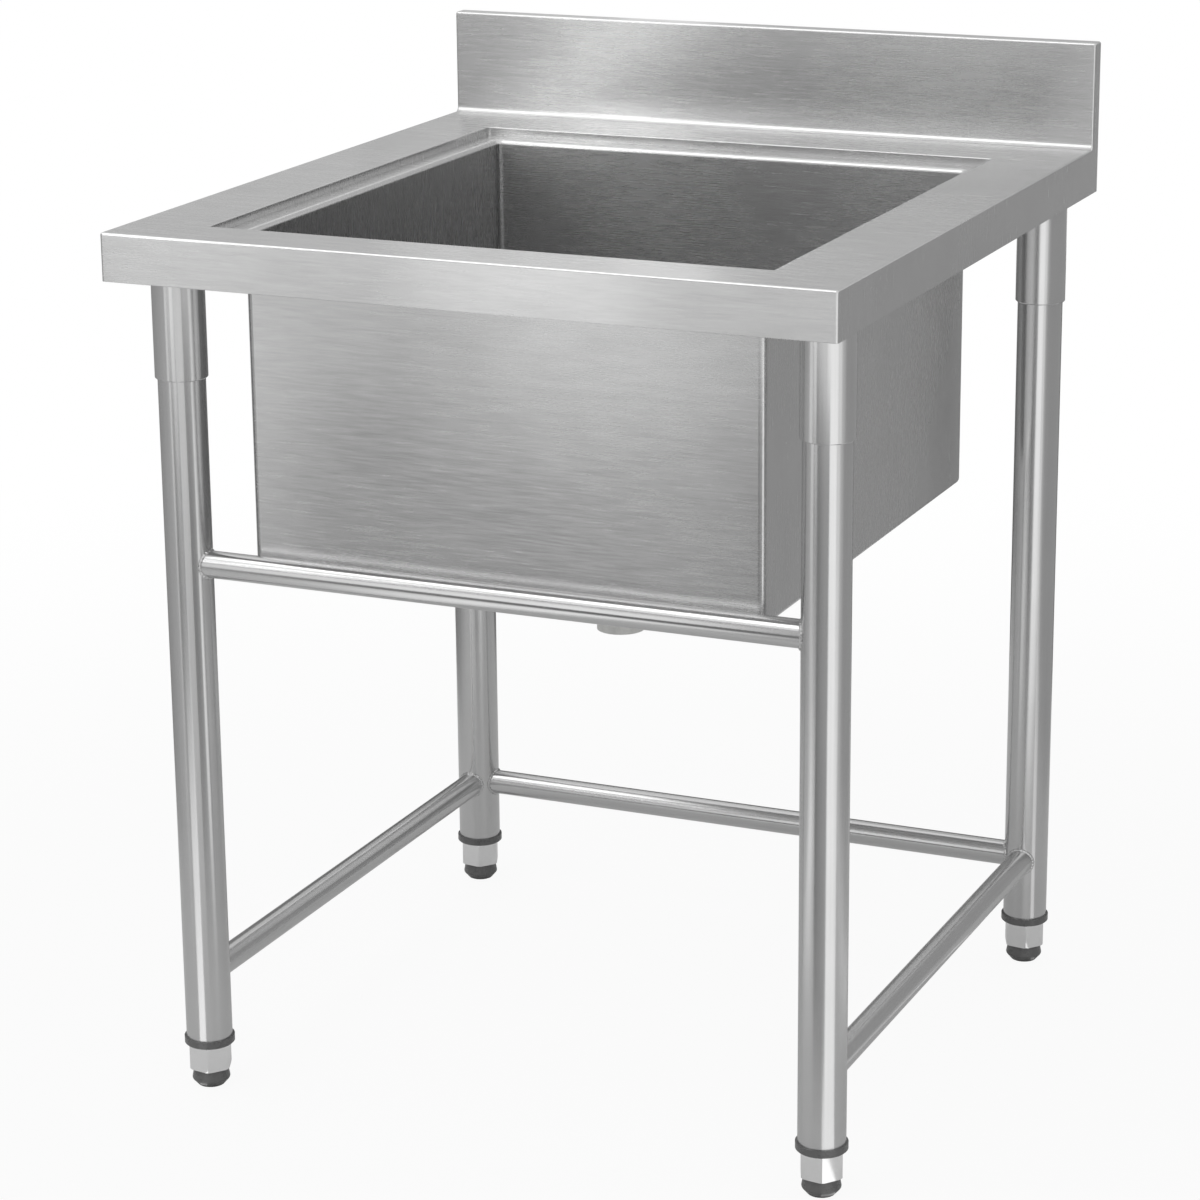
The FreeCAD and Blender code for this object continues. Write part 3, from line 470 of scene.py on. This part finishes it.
def add_floor():
    """A round white floor that keeps a faint shadow and runs out into the white background."""
    material = bpy.data.materials.new("floor")
    tree = new_tree(material)
    place = put(tree, "ShaderNodeTexCoord").outputs["Object"]
    reach = put(tree, "ShaderNodeVectorMath", {0: place}, operation="LENGTH").outputs["Value"]
    spans = []
    for near, far, begin, end in (FLOOR_SHOWN, FLOOR_IN_GLOSS_NEAR, FLOOR_IN_GLOSS_FAR):
        values = {"Value": reach, "From Min": begin, "From Max": end, "To Min": near, "To Max": far}
        spans.append(put(tree, "ShaderNodeMapRange", values, interpolation_type="SMOOTHSTEP").outputs[0])
    to_camera, gloss_near, gloss_far = spans
    path = put(tree, "ShaderNodeLightPath")
    shown = maths(tree, "MULTIPLY", path.outputs["Is Camera Ray"], to_camera)
    gloss = maths(tree, "MAXIMUM", path.outputs["Is Glossy Ray"], path.outputs["Is Transmission Ray"])
    in_gloss = maths(tree, "MAXIMUM", gloss_near, gloss_far)
    share = maths(tree, "ADD", shown, maths(tree, "MULTIPLY", gloss, in_gloss))
    diffuse = put(tree, "ShaderNodeBsdfDiffuse", {"Color": FLOOR_COLOUR})
    glow = put(tree, "ShaderNodeEmission", {"Color": WHITE, "Strength": 1.0})
    mixed = put(tree, "ShaderNodeMixShader", {0: share, 1: diffuse.outputs[0], 2: glow.outputs[0]})
    finish_material(material, tree, mixed.outputs[0])
    turns = [math.tau * k / FLOOR_STEPS for k in range(FLOOR_STEPS)]
    rim = [(FLOOR_RADIUS * math.cos(t), FLOOR_RADIUS * math.sin(t), 0.0) for t in turns]
    stage_mesh("floor", rim, [tuple(range(FLOOR_STEPS))], material)


def card_material():
    """A card that glows as its corners say."""
    material = bpy.data.materials.new("card")
    tree = new_tree(material)
    level = put(tree, "ShaderNodeAttribute", attribute_name="level").outputs["Fac"]
    glow = put(tree, "ShaderNodeEmission", {"Color": WHITE, "Strength": level})
    return finish_material(material, tree, glow.outputs[0])


# Upright cards that only gloss shows, as in a tent for bright metal. Each has its first and last foot on the
# floor plan, its lower and upper edge, and its level at both feet. White is 1, and a light is brighter.
CARDS = (
    ("right_flag", (0.96, -0.16), (0.38, 1.05), 0.0, 0.95, 0.38, 0.38),
    ("rear_flag", (0.38, 1.05), (-0.85, 0.95), 0.0, 0.5, 0.16, 0.16),
    ("left_flag", (-0.85, 0.95), (-0.85, -0.30), 0.0, 0.8, 0.16, 0.40),
    ("left_card", (-0.85, -0.30), (-0.62, -0.80), 0.0, 0.8, 0.40, 0.52),
    ("front_light", (-0.42, -1.10), (-0.20, -1.15), 0.375, 0.9, 1.30, 1.30),
    ("low_front_card", (-0.80, -1.35), (-0.10, -1.35), 0.0, 0.34, 0.12, 0.12),
    ("front_flag", (0.077, -0.67), (0.38, -0.46), 0.0, 0.58, 0.20, 0.42),
    ("right_light", (0.50, -1.00), (0.88, -0.60), 0.0, 0.9, 1.2, 1.2),
    ("right_card", (1.02, -0.45), (0.96, -0.16), 0.0, 0.9, 0.7, 0.4),
    ("splash_light", (-0.68, -1.07), (-0.81, -1.05), 0.85, 1.4, 4.0, 4.0),
    ("splash_flag", (-1.40, -0.90), (0.30, -1.80), 0.85, 1.30, 0.42, 0.42),
    ("back_card", (-0.42, 1.20), (0.70, 1.20), 0.66, 2.0, 0.58, 0.58),
    ("back_low_card", (-0.86, 1.19), (-0.52, 1.19), 0.66, 1.12, 0.50, 0.50),
    ("back_left_card", (-0.86, 1.20), (-1.30, 1.00), 0.66, 2.0, 0.62, 0.58),
)
# Wedges of card that lie on the floor with their points at three legs, which mirror them low down. Each has
# its leg, its bearing from +X and half its angle, both in degrees, its length and its level.
MATS = (
    ("front_left", -92.0, 15.0, 0.85, 1.30),
    ("front_right", -42.0, 28.0, 1.5, 1.15),
    ("rear_right", -34.0, 9.0, 1.2, 0.90),
)
MAT_HEIGHT = 0.002


def add_card(name, points, corner_levels, material):
    """Adds one card, which only gloss shows."""
    card = stage_mesh(name, points, [tuple(range(len(points)))], material)
    levels = card.data.attributes.new("level", "FLOAT", "POINT")
    levels.data.foreach_set("value", corner_levels)
    card.visible_camera = False
    card.visible_diffuse = False
    card.visible_shadow = False


def add_cards():
    """Stands the cards round the sink and lays the wedges on the floor."""
    material = card_material()
    for name, start, end, bottom, top, first_level, last_level in CARDS:
        points = [(*start, bottom), (*end, bottom), (*end, top), (*start, top)]
        add_card(name, points, (first_level, last_level, last_level, first_level), material)
    for corner, bearing, half_angle, length, level in MATS:
        low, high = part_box("leg_" + corner)
        leg = (low + high) / 2
        points = [(leg.x, leg.y, MAT_HEIGHT)]
        for side in (-half_angle, half_angle):
            angle = math.radians(bearing + side)
            points.append((leg.x + length * math.cos(angle), leg.y + length * math.sin(angle), MAT_HEIGHT))
        add_card("mat_" + corner, points, (level, level, level), material)


def add_world():
    """A plain background, white to the camera, in gloss and through glass."""
    world = bpy.data.worlds.new("studio")
    scene.world = world
    world.use_nodes = True
    tree = world.node_tree
    tree.nodes.clear()
    path = put(tree, "ShaderNodeLightPath")
    seen = maths(tree, "MAXIMUM", path.outputs["Is Camera Ray"], path.outputs["Is Glossy Ray"])
    seen = maths(tree, "MAXIMUM", seen, path.outputs["Is Transmission Ray"])
    room = put(tree, "ShaderNodeBackground", {"Color": WHITE, "Strength": ROOM_LIGHT})
    white = put(tree, "ShaderNodeBackground", {"Color": WHITE, "Strength": 1.0})
    mixed = put(tree, "ShaderNodeMixShader", {0: seen, 1: room.outputs[0], 2: white.outputs[0]})
    output = put(tree, "ShaderNodeOutputWorld")
    tree.links.new(mixed.outputs[0], output.inputs["Surface"])


SOFTBOX_PLACE, SOFTBOX_TARGET = (-0.8, -1.0, 2.6), (0.0, 0.0, 0.5)
SOFTBOX_WIDE, SOFTBOX_TALL = 1.8, 1.0
SOFTBOX_WATTS = 10.0


def add_softbox():
    """The one lamp, a rectangle above the front that looks at the sink."""
    lamp = bpy.data.objects.new("key_softbox", bpy.data.lights.new("key_softbox", "AREA"))
    lamp.data.shape = "RECTANGLE"
    lamp.data.size = SOFTBOX_WIDE
    lamp.data.size_y = SOFTBOX_TALL
    lamp.data.energy = SOFTBOX_WATTS
    away = Vector(SOFTBOX_PLACE) - Vector(SOFTBOX_TARGET)
    turn = away.to_track_quat("Z", "Y").to_matrix().to_4x4()
    lamp.matrix_world = Matrix.Translation(SOFTBOX_PLACE) @ turn
    scene.collection.objects.link(lamp)


# ---------------------------------------------------------------- the scene

dress_nodes()
add_welds()
for foot_corner in CORNERS:
    add_screw(foot_corner)
add_camera()
add_floor()
add_cards()
add_world()
add_softbox()
